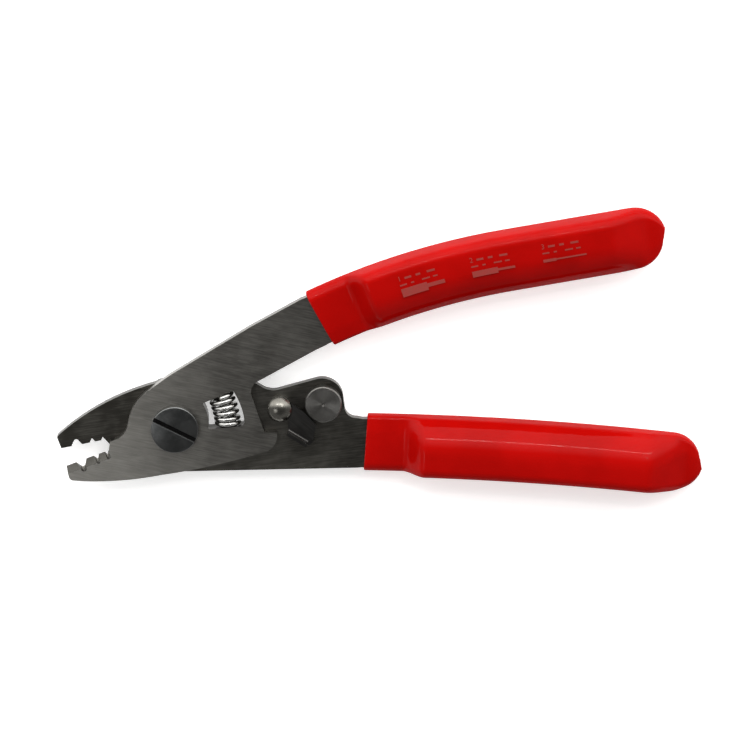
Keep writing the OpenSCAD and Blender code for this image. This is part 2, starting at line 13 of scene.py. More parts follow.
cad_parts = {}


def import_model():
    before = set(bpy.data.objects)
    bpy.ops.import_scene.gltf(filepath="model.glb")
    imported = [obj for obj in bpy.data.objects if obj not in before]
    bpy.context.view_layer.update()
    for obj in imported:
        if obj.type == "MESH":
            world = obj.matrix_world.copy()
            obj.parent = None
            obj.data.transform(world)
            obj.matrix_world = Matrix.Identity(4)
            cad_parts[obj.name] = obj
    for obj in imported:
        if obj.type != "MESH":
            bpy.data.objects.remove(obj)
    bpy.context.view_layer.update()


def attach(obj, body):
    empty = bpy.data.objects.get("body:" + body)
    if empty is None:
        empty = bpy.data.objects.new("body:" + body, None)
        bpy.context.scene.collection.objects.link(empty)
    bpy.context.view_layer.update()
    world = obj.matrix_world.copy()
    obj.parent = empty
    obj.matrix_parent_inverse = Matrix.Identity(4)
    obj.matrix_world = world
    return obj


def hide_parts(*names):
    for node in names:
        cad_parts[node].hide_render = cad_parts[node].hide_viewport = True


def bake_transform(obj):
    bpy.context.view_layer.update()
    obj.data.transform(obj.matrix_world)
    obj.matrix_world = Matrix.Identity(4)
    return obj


log = logging.getLogger("fibre_stripper")

MM = 0.001

# Distance in metres under which a copied mesh's corners are welded
WELD = 2e-6
# Height in metres within which an edge counts as level
LEVEL = 2e-5
# Angles in degrees: faces this flat to each other merge, and edges this steep are rims
FLAT_ANGLE = 0.6
RIM_ANGLE = 55.0
# An x in millimetres that no piece reaches
NOWHERE = -999.0
# Centre of the closing stop's lathe rings, in millimetres
STOP_CENTRE = (38.1, 6.4)

Point = tuple[float, float]
Colour = tuple[float, float, float]


# ---------------------------------------------------------------- helpers


class Body(Enum):
    """Rigid bodies of the frame."""

    REAR = "rear"
    FRONT = "front"
    LATCH = "latch"


def deselect() -> None:
    """Leave edit mode and clear the selection."""
    if bpy.context.object and bpy.context.object.mode != "OBJECT":
        bpy.ops.object.mode_set(mode="OBJECT")
    bpy.ops.object.select_all(action="DESELECT")


def make_active(piece: bpy.types.Object) -> None:
    """Select one piece alone and make it the active one."""
    deselect()
    piece.select_set(True)
    bpy.context.view_layer.objects.active = piece


def named(name: str) -> bpy.types.Object:
    """Name the active object and its mesh, and return it."""
    piece = bpy.context.object
    piece.name = name
    piece.data.name = name
    return piece


def settle(piece: bpy.types.Object) -> bpy.types.Object:
    """Apply a piece's place to its mesh, so that its object sits at the origin."""
    make_active(piece)
    bpy.ops.object.transform_apply(location=True, rotation=True, scale=True)
    return piece


def modify(piece: bpy.types.Object, kind: str, **settings: object) -> None:
    """Add one modifier with its settings and apply it.

    Args:
        piece: the object to change.
        kind: Blender's name for the modifier type.
        settings: the modifier's attributes.
    """
    make_active(piece)
    modifier = piece.modifiers.new(kind.title(), kind)
    for key, value in settings.items():
        setattr(modifier, key, value)
    bpy.ops.object.modifier_apply(modifier=modifier.name)


def shade(piece: bpy.types.Object, angle: float = 30.0) -> None:
    """Smooth the faces that meet at less than an angle in degrees."""
    make_active(piece)
    bpy.ops.object.shade_smooth_by_angle(angle=math.radians(angle))


def turned(point: Sequence[float], degrees: float) -> Point:
    """Turn a point in the plane about the pivot axis."""
    c, s = math.cos(math.radians(degrees)), math.sin(math.radians(degrees))
    return (point[0] * c - point[1] * s, point[0] * s + point[1] * c)


def ramp(x: float) -> float:
    """Smooth step from 0 to 1."""
    t = min(max(x, 0.0), 1.0)
    return t * t * (3.0 - 2.0 * t)


def fillet(before: Point, corner: Point, after: Point, radius: float, steps: int) -> list[Point]:
    """Points of a rounded corner.

    Args:
        before: a point on the side that leads to the corner.
        corner: the sharp corner.
        after: a point on the side that leaves it.
        radius: the fillet's radius.
        steps: how many straight steps stand for the arc.

    Returns:
        The arc's points, from one side to the other.
    """
    c = Vector(corner)
    u = (Vector(before) - c).normalized()
    v = (Vector(after) - c).normalized()
    half = math.acos(max(-1.0, min(1.0, u.dot(v)))) / 2
    centre = c + (u + v).normalized() * radius / math.sin(half)
    start = c + u * radius / math.tan(half) - centre
    first = math.atan2(start.y, start.x)
    way = 1.0 if u.x * v.y - u.y * v.x < 0 else -1.0
    sweep = way * (math.pi - 2 * half)
    return [
        (
            centre.x + radius * math.cos(first + sweep * i / steps),
            centre.y + radius * math.sin(first + sweep * i / steps),
        )
        for i in range(steps + 1)
    ]


# ---------------------------------------------------------------- finishes


class Nodes:
    """Builds one node tree, with short calls for its nodes and links."""

    def __init__(self, tree: bpy.types.NodeTree) -> None:
        """Start from an empty tree."""
        self.tree = tree
        tree.nodes.clear()

    def add(self, kind: str, **settings: object) -> bpy.types.Node:
        """Add a node of a type, and set its attributes and its sockets' values.

        Args:
            kind: the node's type without the ShaderNode prefix, or a full type name.
            settings: attributes, or socket names with underscores for spaces.

        Returns:
            The new node.
        """
        full = kind if kind.startswith("NodeGroup") else "ShaderNode" + kind
        node = self.tree.nodes.new(full)
        for key, value in settings.items():
            if hasattr(node, key):
                setattr(node, key, value)
            else:
                node.inputs[key.replace("_", " ")].default_value = value
        return node

    def link(self, source: bpy.types.NodeSocket, target: bpy.types.NodeSocket) -> None:
        """Join two sockets."""
        self.tree.links.new(source, target)

    def maths(self, operation: str, a: object, b: object = 0.0, c: object = None) -> bpy.types.NodeSocket:
        """Add a Math node on sockets or numbers, and return its result."""
        node = self.tree.nodes.new("ShaderNodeMath")
        node.operation = operation
        for socket, value in zip(node.inputs, (a, b) if c is None else (a, b, c)):
            if isinstance(value, (int, float)):
                socket.default_value = value
            else:
                self.link(value, socket)
        return node.outputs[0]

    def mix(self, factor: object, a: object, b: object) -> bpy.types.NodeSocket:
        """Mix two colours, each a socket or a colour, and return the result."""
        node = self.tree.nodes.new("ShaderNodeMix")
        node.data_type = "RGBA"
        for socket, value in ((node.inputs[0], factor), (node.inputs[6], a), (node.inputs[7], b)):
            if isinstance(value, bpy.types.NodeSocket):
                self.link(value, socket)
            elif isinstance(value, (int, float)):
                socket.default_value = value
            else:
                socket.default_value = (*value, 1.0)
        return node.outputs[2]

    def spread(self, value: bpy.types.NodeSocket, low: float, high: float,
               to_low: float, to_high: float) -> bpy.types.NodeSocket:
        """Map a value smoothly from one range to another."""
        node = self.tree.nodes.new("ShaderNodeMapRange")
        node.interpolation_type = "SMOOTHSTEP"
        self.link(value, node.inputs[0])
        for socket, number in zip(node.inputs[1:5], (low, high, to_low, to_high)):
            socket.default_value = number
        return node.outputs[0]


class SharedGroups:
    """Shader node groups that several finishes place with their own values."""

    def __init__(self) -> None:
        """Build each group once."""
        self.grain = self._grain()
        self.mottle = self._mottle()
        self.rings = self._rings()

    @staticmethod
    def _group(name: str, inputs: dict[str, float],
               outputs: Iterable[str]) -> tuple[Nodes, bpy.types.Node, bpy.types.Node]:
        """Make an empty group with number sockets.

        Args:
            name: the group's name.
            inputs: each input's name and default value.
            outputs: the names of its outputs.

        Returns:
            Its builder, its input node and its output node.
        """
        tree = bpy.data.node_groups.new(name, "ShaderNodeTree")
        for key, value in inputs.items():
            socket = tree.interface.new_socket(key, in_out="INPUT", socket_type="NodeSocketFloat")
            socket.default_value = value
        for key in outputs:
            tree.interface.new_socket(key, in_out="OUTPUT", socket_type="NodeSocketFloat")
        nodes = Nodes(tree)
        return nodes, nodes.add("NodeGroupInput"), nodes.add("NodeGroupOutput")

    def _grain(self) -> bpy.types.NodeTree:
        """Grinding lines: noise drawn out along one direction."""
        nodes, given, out = self._group(
            "grinding_grain", {"Turn": 0.0, "Lines": 3800.0, "Stretch": 0.05}, ("Shade", "Height"))
        place = nodes.add("TexCoord")
        spin = nodes.add("CombineXYZ")
        nodes.link(given.outputs["Turn"], spin.inputs["Z"])
        size = nodes.add("CombineXYZ")
        along = nodes.maths("MULTIPLY", given.outputs["Lines"], given.outputs["Stretch"])
        nodes.link(along, size.inputs["X"])
        nodes.link(given.outputs["Lines"], size.inputs["Y"])
        nodes.link(given.outputs["Lines"], size.inputs["Z"])
        mapping = nodes.add("Mapping", vector_type="POINT")
        turn = nodes.add("VectorRotate", rotation_type="EULER_XYZ")
        nodes.link(place.outputs["Object"], turn.inputs["Vector"])
        nodes.link(spin.outputs[0], turn.inputs["Rotation"])
        nodes.link(turn.outputs[0], mapping.inputs["Vector"])
        nodes.link(size.outputs[0], mapping.inputs["Scale"])
        fine = nodes.add("TexNoise", Scale=1.0, Detail=4.0, Roughness=0.6)
        nodes.link(mapping.outputs[0], fine.inputs["Vector"])
        nodes.link(nodes.spread(fine.outputs["Fac"], 0.3, 0.7, 0.0, 1.0), out.inputs["Shade"])
        nodes.link(fine.outputs["Fac"], out.inputs["Height"])
        return nodes.tree

    def _mottle(self) -> bpy.types.NodeTree:
        """Handling marks: soft cloudy patches over small specks."""
        nodes, given, out = self._group(
            "handling_mottle", {"Patch": 120.0, "Speck": 1400.0}, ("Cloud", "Specks"))
        place = nodes.add("TexCoord")
        cloud = nodes.add("TexNoise", Detail=3.0, Roughness=0.55)
        specks = nodes.add("TexNoise", Detail=2.0, Roughness=0.5)
        for node, socket in ((cloud, "Patch"), (specks, "Speck")):
            nodes.link(place.outputs["Object"], node.inputs["Vector"])
            nodes.link(given.outputs[socket], node.inputs["Scale"])
        nodes.link(nodes.spread(cloud.outputs["Fac"], 0.32, 0.68, 0.0, 1.0), out.inputs["Cloud"])
        nodes.link(nodes.spread(specks.outputs["Fac"], 0.62, 0.74, 0.0, 1.0), out.inputs["Specks"])
        return nodes.tree

    def _rings(self) -> bpy.types.NodeTree:
        """Lathe rings about an upright axis at X, Y."""
        nodes, given, out = self._group(
            "lathe_rings", {"X": 0.0, "Y": 0.0, "Pitch": 0.00025}, ("Radius", "Height", "Shade"))
        place = nodes.add("TexCoord")
        split = nodes.add("SeparateXYZ")
        nodes.link(place.outputs["Object"], split.inputs[0])
        dx = nodes.maths("SUBTRACT", split.outputs["X"], given.outputs["X"])
        dy = nodes.maths("SUBTRACT", split.outputs["Y"], given.outputs["Y"])
        squares = nodes.maths("ADD", nodes.maths("MULTIPLY", dx, dx), nodes.maths("MULTIPLY", dy, dy))
        radius = nodes.maths("SQRT", squares)
        wander = nodes.add("TexNoise", noise_dimensions="1D", Detail=2.0)
        nodes.link(nodes.maths("MULTIPLY", radius, 3000.0), wander.inputs["W"])
        phase = nodes.maths("MULTIPLY", nodes.maths("DIVIDE", radius, given.outputs["Pitch"]), 2 * math.pi)
        nodes.link(radius, out.inputs["Radius"])
        nodes.link(nodes.maths("SINE", phase), out.inputs["Height"])
        nodes.link(wander.outputs["Fac"], out.inputs["Shade"])
        return nodes.tree


def new_material(name: str) -> tuple[bpy.types.Material, Nodes, bpy.types.Node]:
    """Make a material with a Principled shader.

    Returns:
        The material, its node builder and its shader node.
    """
    material = bpy.data.materials.new(name)
    material.use_nodes = True
    nodes = Nodes(material.node_tree)
    shader = nodes.add("BsdfPrincipled")
    output = nodes.add("OutputMaterial")
    nodes.link(shader.outputs[0], output.inputs[0])
    return material, nodes, shader


@dataclass(frozen=True)
class GroundSteel:
    """Satin steel with grinding lines, and a graded shift of tone towards the jaws that paints light where it
    is positive and shade where it is negative.
    """

    name: str
    dark: Colour
    light: Colour
    roughness: float
    turn: float
    grain: float = 0.35
    cloud: float = 0.4
    painted_jaw_lighting: float = 0.0
    painted_lighting_from: float = -2.0
    painted_lighting_to: float = -26.0

    def build(self, groups: SharedGroups) -> bpy.types.Material:
        """Return the finished material."""
        material, nodes, shader = new_material(self.name)
        grain = nodes.add("Group", node_tree=groups.grain, Turn=math.radians(self.turn))
        mottle = nodes.add("Group", node_tree=groups.mottle)
        place = nodes.add("TexCoord")
        split = nodes.add("SeparateXYZ")
        nodes.link(place.outputs["Object"], split.inputs[0])
        # Painted light and shade: the tone is shifted along x, most at the jaws, lighter for a positive shift
        # and darker for a negative one.
        jaw = nodes.spread(split.outputs["X"], self.painted_lighting_to * MM, self.painted_lighting_from * MM, self.painted_jaw_lighting, 0.0)
        shade_mix = nodes.maths("ADD", nodes.maths("MULTIPLY", grain.outputs["Shade"], self.grain),
                                nodes.maths("MULTIPLY", mottle.outputs["Cloud"], self.cloud))
        shade_mix = nodes.maths("ADD", shade_mix, jaw)
        nodes.link(nodes.mix(shade_mix, self.dark, self.light), shader.inputs["Base Color"])
        rough = nodes.maths("MULTIPLY_ADD", grain.outputs["Shade"], 0.06, self.roughness)
        rough = nodes.maths("MULTIPLY_ADD", mottle.outputs["Specks"], 0.08, rough)
        nodes.link(rough, shader.inputs["Roughness"])
        bump = nodes.add("Bump", Strength=0.25, Distance=0.00002)
        nodes.link(grain.outputs["Height"], bump.inputs["Height"])
        nodes.link(bump.outputs[0], shader.inputs["Normal"])
        shader.inputs["Metallic"].default_value = 1.0
        shader.inputs["Anisotropic"].default_value = 0.3
        return material


@dataclass(frozen=True)
class TurnedSteel:
    """Lathe-turned steel about an upright axis, with rings and a painted highlight in a thin ring at the rim.
    """

    name: str
    dark: Colour
    light: Colour
    centre: Point
    rim: float
    roughness: float = 0.3
    ring_strength: float = 0.35
    pitch: float = 0.22

    def build(self, groups: SharedGroups) -> bpy.types.Material:
        """Return the finished material."""
        material, nodes, shader = new_material(self.name)
        rings = nodes.add("Group", node_tree=groups.rings, X=self.centre[0] * MM, Y=self.centre[1] * MM,
                          Pitch=self.pitch * MM)
        mottle = nodes.add("Group", node_tree=groups.mottle, Patch=260.0)
        # Painted highlight: a thin ring just inside the rim is lifted to the light tone.
        edge = nodes.spread(rings.outputs["Radius"], (self.rim - 0.35) * MM, (self.rim - 0.05) * MM, 0.0, 1.0)
        tone = nodes.maths("ADD", nodes.maths("MULTIPLY", mottle.outputs["Cloud"], 0.35),
                           nodes.maths("MULTIPLY", rings.outputs["Shade"], 0.3))
        tone = nodes.maths("MAXIMUM", tone, edge)
        nodes.link(nodes.mix(tone, self.dark, self.light), shader.inputs["Base Color"])
        nodes.link(nodes.maths("MULTIPLY_ADD", mottle.outputs["Specks"], 0.12, self.roughness),
                   shader.inputs["Roughness"])
        bump = nodes.add("Bump", Strength=self.ring_strength, Distance=0.00002)
        nodes.link(rings.outputs["Height"], bump.inputs["Height"])
        nodes.link(bump.outputs[0], shader.inputs["Normal"])
        shader.inputs["Metallic"].default_value = 1.0
        return material


@dataclass(frozen=True)
class Plated:
    """Bright plated or drawn metal with faint specks."""

    name: str
    dark: Colour
    light: Colour
    roughness: float

    def build(self, groups: SharedGroups) -> bpy.types.Material:
        """Return the finished material."""
        material, nodes, shader = new_material(self.name)
        mottle = nodes.add("Group", node_tree=groups.mottle, Patch=400.0, Speck=2600.0)
        nodes.link(nodes.mix(mottle.outputs["Cloud"], self.dark, self.light), shader.inputs["Base Color"])
        nodes.link(nodes.maths("MULTIPLY_ADD", mottle.outputs["Specks"], 0.15, self.roughness),
                   shader.inputs["Roughness"])
        bump = nodes.add("Bump", Strength=0.1, Distance=0.00001)
        nodes.link(mottle.outputs["Cloud"], bump.inputs["Height"])
        nodes.link(bump.outputs[0], shader.inputs["Normal"])
        shader.inputs["Metallic"].default_value = 1.0
        return material


@dataclass(frozen=True)
class DippedVinyl:
    """Glossy vinyl with the soft waviness of a dipped coat."""

    name: str
    deep: Colour
    bright: Colour
    roughness: float = 0.34

    def build(self, groups: SharedGroups) -> bpy.types.Material:
        """Return the finished material."""
        material, nodes, shader = new_material(self.name)
        mottle = nodes.add("Group", node_tree=groups.mottle, Patch=70.0, Speck=1800.0)
        nodes.link(nodes.mix(mottle.outputs["Cloud"], self.deep, self.bright), shader.inputs["Base Color"])
        nodes.link(nodes.maths("MULTIPLY_ADD", mottle.outputs["Cloud"], 0.05, self.roughness),
                   shader.inputs["Roughness"])
        wave = nodes.add("TexNoise", Scale=260.0, Detail=1.0)
        place = nodes.add("TexCoord")
        nodes.link(place.outputs["Object"], wave.inputs["Vector"])
        bump = nodes.add("Bump", Strength=0.12, Distance=0.0002)
        nodes.link(wave.outputs["Fac"], bump.inputs["Height"])
        nodes.link(bump.outputs[0], shader.inputs["Normal"])
        shader.inputs["Specular IOR Level"].default_value = 0.0
        shader.inputs["Coat Roughness"].default_value = 0.045
        shader.inputs["Coat Weight"].default_value = 0.11
        return material


@dataclass(frozen=True)
class PrintInk:
    """Pale pad-printed ink, slightly broken where the vinyl shows through."""

    name: str
    ink: Colour
    under: Colour

    def build(self, groups: SharedGroups) -> bpy.types.Material:
        """Return the finished material."""
        material, nodes, shader = new_material(self.name)
        mottle = nodes.add("Group", node_tree=groups.mottle, Patch=900.0, Speck=3200.0)
        nodes.link(nodes.mix(nodes.maths("MULTIPLY", mottle.outputs["Cloud"], 0.35), self.ink, self.under),
                   shader.inputs["Base Color"])
        nodes.link(nodes.maths("MULTIPLY_ADD", mottle.outputs["Cloud"], 0.1, 0.4), shader.inputs["Roughness"])
        return material


@dataclass(frozen=True)
class Palette:
    """Every finish of the tool, built once."""

    made: dict[str, bpy.types.Material] = field(default_factory=dict)

    def build(self) -> None:
        """Build each finish into the palette."""
        groups = SharedGroups()
        finishes = (
            # Front plate: painted light, lighter towards the jaws.
            GroundSteel("front_steel", (0.085, 0.082, 0.075), (0.3, 0.292, 0.27), 0.34, 12.0,
                        grain=0.24, cloud=0.18, painted_jaw_lighting=0.74, painted_lighting_from=22.0),
            # Rear plate: painted shade, darker towards the jaws.
            GroundSteel("rear_steel", (0.04, 0.038, 0.033), (0.15, 0.145, 0.13), 0.36, -8.0,
                        grain=0.3, cloud=0.4, painted_jaw_lighting=-0.32, painted_lighting_from=14.0, painted_lighting_to=-18.0),
            GroundSteel("honed_steel", (0.055, 0.053, 0.048), (0.095, 0.092, 0.084), 0.3, 75.0),
            GroundSteel("latch_steel", (0.035, 0.034, 0.033), (0.075, 0.073, 0.07), 0.28, 40.0),
            TurnedSteel("screw_steel", (0.04, 0.042, 0.042), (0.14, 0.143, 0.143), (0.0, 0.0), 6.1,
                        ring_strength=0.15),
            GroundSteel("slot_shadow", (0.012, 0.012, 0.012), (0.02, 0.02, 0.02), 0.6, -27.0),
            TurnedSteel("stop_steel", (0.07, 0.068, 0.064), (0.17, 0.167, 0.158), STOP_CENTRE, 4.7,
                        ring_strength=0.4, pitch=0.12),
            Plated("nickel", (0.1, 0.096, 0.086), (0.14, 0.135, 0.122), 0.24),
            Plated("zinc", (0.4, 0.4, 0.39), (0.55, 0.55, 0.53), 0.3),
            Plated("spring_wire", (0.32, 0.32, 0.31), (0.46, 0.46, 0.445), 0.2),
            DippedVinyl("red_vinyl", (0.27, 0.0016, 0.001), (0.32, 0.002, 0.0014), 0.34),
            PrintInk("pale_ink", (0.21, 0.026, 0.02), (0.26, 0.008, 0.006)),
        )
        for finish in finishes:
            self.made[finish.name] = finish.build(groups)

    def paint(self, piece: bpy.types.Object, finish: str) -> None:
        """Give a piece one finish all over."""
        piece.data.materials.clear()
        piece.data.materials.append(self.made[finish])

    def touch(self, piece: bpy.types.Object, finish: str,
              chosen: Callable[[bpy.types.MeshPolygon], bool]) -> None:
        """Give a second finish to the faces of a painted piece that chosen picks."""
        piece.data.materials.append(self.made[finish])
        for face in piece.data.polygons:
            if chosen(face):
                face.material_index = len(piece.data.materials) - 1


# ---------------------------------------------------------------- pieces


def dressed_copy(node: str, name: str, bevel: float, keep_sharp: Callable[[Vector], bool],
                 smooth: float) -> bpy.types.Object:
    """Copy a frame node's mesh, weld it, round its rims and stand it in for the node.

    Args:
        node: the frame node to copy.
        name: the new piece's name.
        bevel: width of the rounded rims, in millimetres, or 0 for none.
        keep_sharp: says for an edge's middle, in metres, whether it stays sharp.
        smooth: the angle in degrees under which faces are shaded smooth.

    Returns:
        The new piece.
    """
    source = bpy.data.objects[node]
    piece = bpy.data.objects.new(name, source.data.copy())
    piece.data.name = name
    bpy.context.scene.collection.objects.link(piece)
    mesh = bmesh.new()
    mesh.from_mesh(piece.data)
    bmesh.ops.remove_doubles(mesh, verts=mesh.verts, dist=WELD)
    bmesh.ops.dissolve_limit(mesh, angle_limit=math.radians(FLAT_ANGLE), verts=mesh.verts, edges=mesh.edges)
    layer = mesh.edges.layers.float.new("bevel_weight_edge")
    for edge in mesh.edges:
        middle = (edge.verts[0].co + edge.verts[1].co) / 2
        steep = len(edge.link_faces) == 2 and edge.calc_face_angle(0.0) > math.radians(RIM_ANGLE)
        level = abs(edge.verts[0].co.z - edge.verts[1].co.z) < LEVEL
        if steep and level and not keep_sharp(middle):
            edge[layer] = 1.0
    mesh.to_mesh(piece.data)
    mesh.free()
    if bevel > 0:
        modify(piece, "BEVEL", width=bevel * MM, segments=2, limit_method="WEIGHT",
               use_clamp_overlap=True)
    shade(piece, smooth)
    modify(piece, "WEIGHTED_NORMAL", keep_sharp=True, weight=100)
    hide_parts(node)
    return piece


@dataclass(frozen=True)
class HandleLine:
    """Centre line of a handle: an arc, then straight on, in millimetres and degrees."""

    start: Point
    heading: float
    radius: float
    turn: float
    outer: float
    opened: float = 0.0

    @property
    def bend(self) -> float:
        """Length of the arc."""
        return math.radians(self.turn) * self.radius

    def heading_at(self, s: float) -> float:
        """Heading at distance s along the line, before the handle is opened."""
        return self.heading - min(s / self.bend, 1.0) * self.turn

    def point(self, s: float, v: float) -> Point:
        """Point at distance s along the line and v to its left, with the handle opened."""
        bent = min(s, self.bend)
        first, last = math.radians(self.heading), math.radians(self.heading_at(s))
        x = self.start[0] + self.radius * (math.sin(first) - math.sin(last))
        y = self.start[1] + self.radius * (math.cos(last) - math.cos(first))
        x += (s - bent) * math.cos(last) - v * math.sin(last)
        y += (s - bent) * math.sin(last) + v * math.cos(last)
        return turned((x, y), self.opened)


FRONT_LINE = HandleLine((43.0, 19.5), 12.4, 185.0, 15.8, 1.0, opened=13.4)
REAR_LINE = HandleLine((49.0, -4.65), -1.0, 830.0, 6.0, -1.0)


@dataclass
class DippedGrip:
    """Vinyl grip over a flanged tang: thin at the cuff, full over the flange, round at the end."""

    name: str
    node: str
    body: Body
    line: HandleLine
    tang_width: float
    length: float
    plate_z: float
    plate: float = 2.5
    wall: float = 1.0
    fit: float = 0.02
    flange: float = 8.8
    slope: float = 4.0
    crown: float = 0.4
    swell_from: float = 9.5
    swell: float = 6.0
    tail: float = 14.2
    fade: float = 11.0
    tip: float = 7.8
    end_slant: float = 0.05
    slant_reach: float = 8.0
    cuff_round: float = 0.5
    cuff_share: float = 0.96
    flat_share: float = 0.35
    tip_share: float = 0.97
    edge_drop: float = 0.2
    radii: tuple[float, ...] = (1.3, 1.6, 2.7, 10.0, 1.2)
    steps: int = 9

    @property
    def half(self) -> float:
        """Half of the grip's width."""
        return self.tang_width / 2 + self.wall + self.fit

    def full(self, s: float) -> float:
        """Share of the full height at s."""
        rise = ramp((s - self.swell_from) / self.swell)
        return rise - ramp((s - self.length + self.tail) / self.fade)

    def girth(self, s: float) -> float:
        """Share of the full width at s."""
        cuff = min(s / self.cuff_round, 1.0)
        past = max(s - (self.length - self.tip), 0.0) / self.tip
        rim = self.cuff_share + (1 - self.cuff_share) * math.sqrt(1 - (1 - cuff) ** 2)
        return rim * math.sqrt(1 - min(past * past, self.tip_share))

    def heights(self, s: float) -> tuple[float, float]:
        """Height of the top and of the inner edge at s, above the grip's underside."""
        thin = self.plate + 2 * self.wall
        top = thin + self.crown + (self.flange + 2 * self.wall - thin - self.crown) * self.full(s)
        return top, thin - self.edge_drop + self.full(s)

    def section(self, s: float) -> list[Point]:
        """Closed section at s: across towards the outer edge, and up."""
        w = self.half
        top, inner = self.heights(s)
        corners = ((-w, 0.0), (w, 0.0), (w, top), (-w + self.slope, top), (-w, inner))
        ring: list[Point] = []
        for i, (corner, radius) in enumerate(zip(corners, self.radii)):
            ring += fillet(corners[i - 1], corner, corners[(i + 1) % len(corners)], radius, self.steps)
        return ring

    def stations(self) -> list[float]:
        """Distances along the grip of its sections, closer where the form changes."""
        swell_end = self.swell_from + self.swell
        fade_from = self.length - self.tail
        tip_from = self.length - self.tip
        spans = ((0.0, self.cuff_round, 4), (self.cuff_round, self.swell_from, 12),
                 (self.swell_from, swell_end, 18),
                 (swell_end, fade_from, 46), (fade_from, tip_from, 14))
        marks = [a + (b - a) * i / n for a, b, n in spans for i in range(n)]
        return marks + [tip_from + self.tip * math.sin(math.pi / 2 * i / 24) for i in range(25)]

    def place(self, s: float, v: float, z: float) -> Vector:
        """Point of the grip in metres, from its section's own v and z."""
        g = self.girth(s)
        near_cuff = max(0.0, 1 - s / self.slant_reach)
        near_tip = max(0.0, 1 - (self.length - s) / self.slant_reach)
        slant = self.end_slant * (near_cuff - near_tip)
        middle = (self.plate + 2 * self.wall) / 2
        flat = self.flat_share + (1 - self.flat_share) * g
        x, y = self.line.point(s - slant * v, self.line.outer * v * g)
        return Vector((x, y, self.plate_z - self.wall + middle + (z - middle) * flat)) * MM

    def top_at(self, s: float, v: float, lift: float) -> Vector:
        """Point on the flat top at s and v, raised by lift, all in millimetres."""
        return self.place(s, v, self.heights(s)[0] + lift)

    def build(self, palette: Palette) -> bpy.types.Object:
        """Wrap a grid round the grip's sections, close it and dress it.

        Returns:
            The finished grip.
        """
        stations = self.stations()
        rings = [self.section(s) for s in stations]
        around = len(rings[0])
        deselect()
        bpy.ops.mesh.primitive_grid_add(x_subdivisions=around, y_subdivisions=len(stations) - 1, size=1.0)
        piece = named(self.name)
        places: list[float] = []
        for s, ring in zip(stations, rings):
            for v, z in (*ring, ring[0]):
                places.extend(self.place(s, v, z))
        piece.data.vertices.foreach_set("co", places)
        bpy.ops.object.mode_set(mode="EDIT")
        bpy.ops.mesh.select_all(action="SELECT")
        bpy.ops.mesh.remove_doubles(threshold=1e-7)
        bpy.ops.mesh.select_all(action="DESELECT")
        bpy.ops.mesh.select_mode(type="EDGE")
        bpy.ops.mesh.select_non_manifold()
        bpy.ops.mesh.edge_face_add()
        bpy.ops.mesh.select_all(action="SELECT")
        bpy.ops.mesh.normals_make_consistent(inside=False)
        bpy.ops.object.mode_set(mode="OBJECT")
        shade(piece, 50.0)
        palette.paint(piece, "red_vinyl")
        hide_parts(self.node)
        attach(piece, self.body.value)
        return piece


@dataclass
class PrintedKey:
    """Size key on the upper grip: numbered groups of dashes over a stepped bar."""

    grip: DippedGrip
    thickness: float = 0.04
    lift: float = 0.01
    cut_every: float = 0.8
    # Groups: numeral, start along the grip, height across it, the bar's two thicknesses, its length
    groups: tuple[tuple[str, float, float, tuple[float, float], float], ...] = (
        ("1", 22.8, 0.2, (2.2, 1.0), 11.4),
        ("2", 41.4, 0.0, (1.55, 0.6), 11.1),
        ("3", 59.8, 0.1, (0.75, 0.4), 11.2),
    )
    # Rows of dashes: first start, height above the bar's middle, lengths, share drawn, thickness
    rows: tuple[tuple[float, float, tuple[float, ...], float, float], ...] = (
        (1.8, 3.3, (2.2, 1.5, 2.6), 0.8, 0.55),
        (0.1, 1.75, (2.4, 1.1, 2.8, 1.6), 0.75, 0.4),
    )
    dash_step: float = 2.9

    def bar(self, s: float, v: float, length: float, height: float) -> bpy.types.Object:
        """Add one flat bar, with cuts across it so that it follows the grip's bend.

        Args:
            s: where it starts along the handle line.
            v: where its lower edge is across the line.
            length: its length.
            height: its height.

        Returns:
            The bar, laid out flat in millimetres.
        """
        deselect()
        cuts = max(1, round(length / self.cut_every))
        bpy.ops.mesh.primitive_grid_add(x_subdivisions=cuts, y_subdivisions=1, size=1.0)
        piece = bpy.context.object
        piece.scale = (length, height, 1.0)
        piece.location = (s + length / 2, v + height / 2, 0.0)
        return settle(piece)

    def numeral(self, text: str, s: float, v: float, size: float) -> bpy.types.Object:
        """Add a plain numeral as a flat mesh at s and v, in millimetres."""
        deselect()
        bpy.ops.object.text_add(location=(s, v, 0.0))
        piece = bpy.context.object
        piece.data.body = text
        piece.data.size = size
        piece.data.resolution_u = 4
        make_active(piece)
        bpy.ops.object.convert(target="MESH")
        return settle(bpy.context.object)

    def build(self, palette: Palette) -> bpy.types.Object:
        """Lay out the groups flat, join them and wrap them on the grip's top."""
        flats: list[bpy.types.Object] = []
        for text, s, v, (tall, low), length in self.groups:
            step = length * (0.6 if tall > 1 else 0.3)
            flats.append(self.bar(s, v - tall * 0.55, step, tall))
            flats.append(self.bar(s + step, v - low * 0.5, length - step, low))
            flats.append(self.numeral(text, s, v + 3.1, 1.9))
            for first, up, dashes, share, thick in self.rows:
                for k, dash in enumerate(dashes):
                    flats.append(self.bar(s + first + self.dash_step * k, v + up, dash * share, thick))
        make_active(flats[0])
        for flat in flats:
            flat.select_set(True)
        bpy.ops.object.join()
        piece = named("size_key_print")
        for vertex in piece.data.vertices:
            vertex.co = self.grip.top_at(vertex.co.x, vertex.co.y, self.lift)
        piece.data.update()
        modify(piece, "SOLIDIFY", thickness=self.thickness * MM, offset=1.0)
        palette.paint(piece, "pale_ink")
        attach(piece, Body.FRONT.value)
        return piece


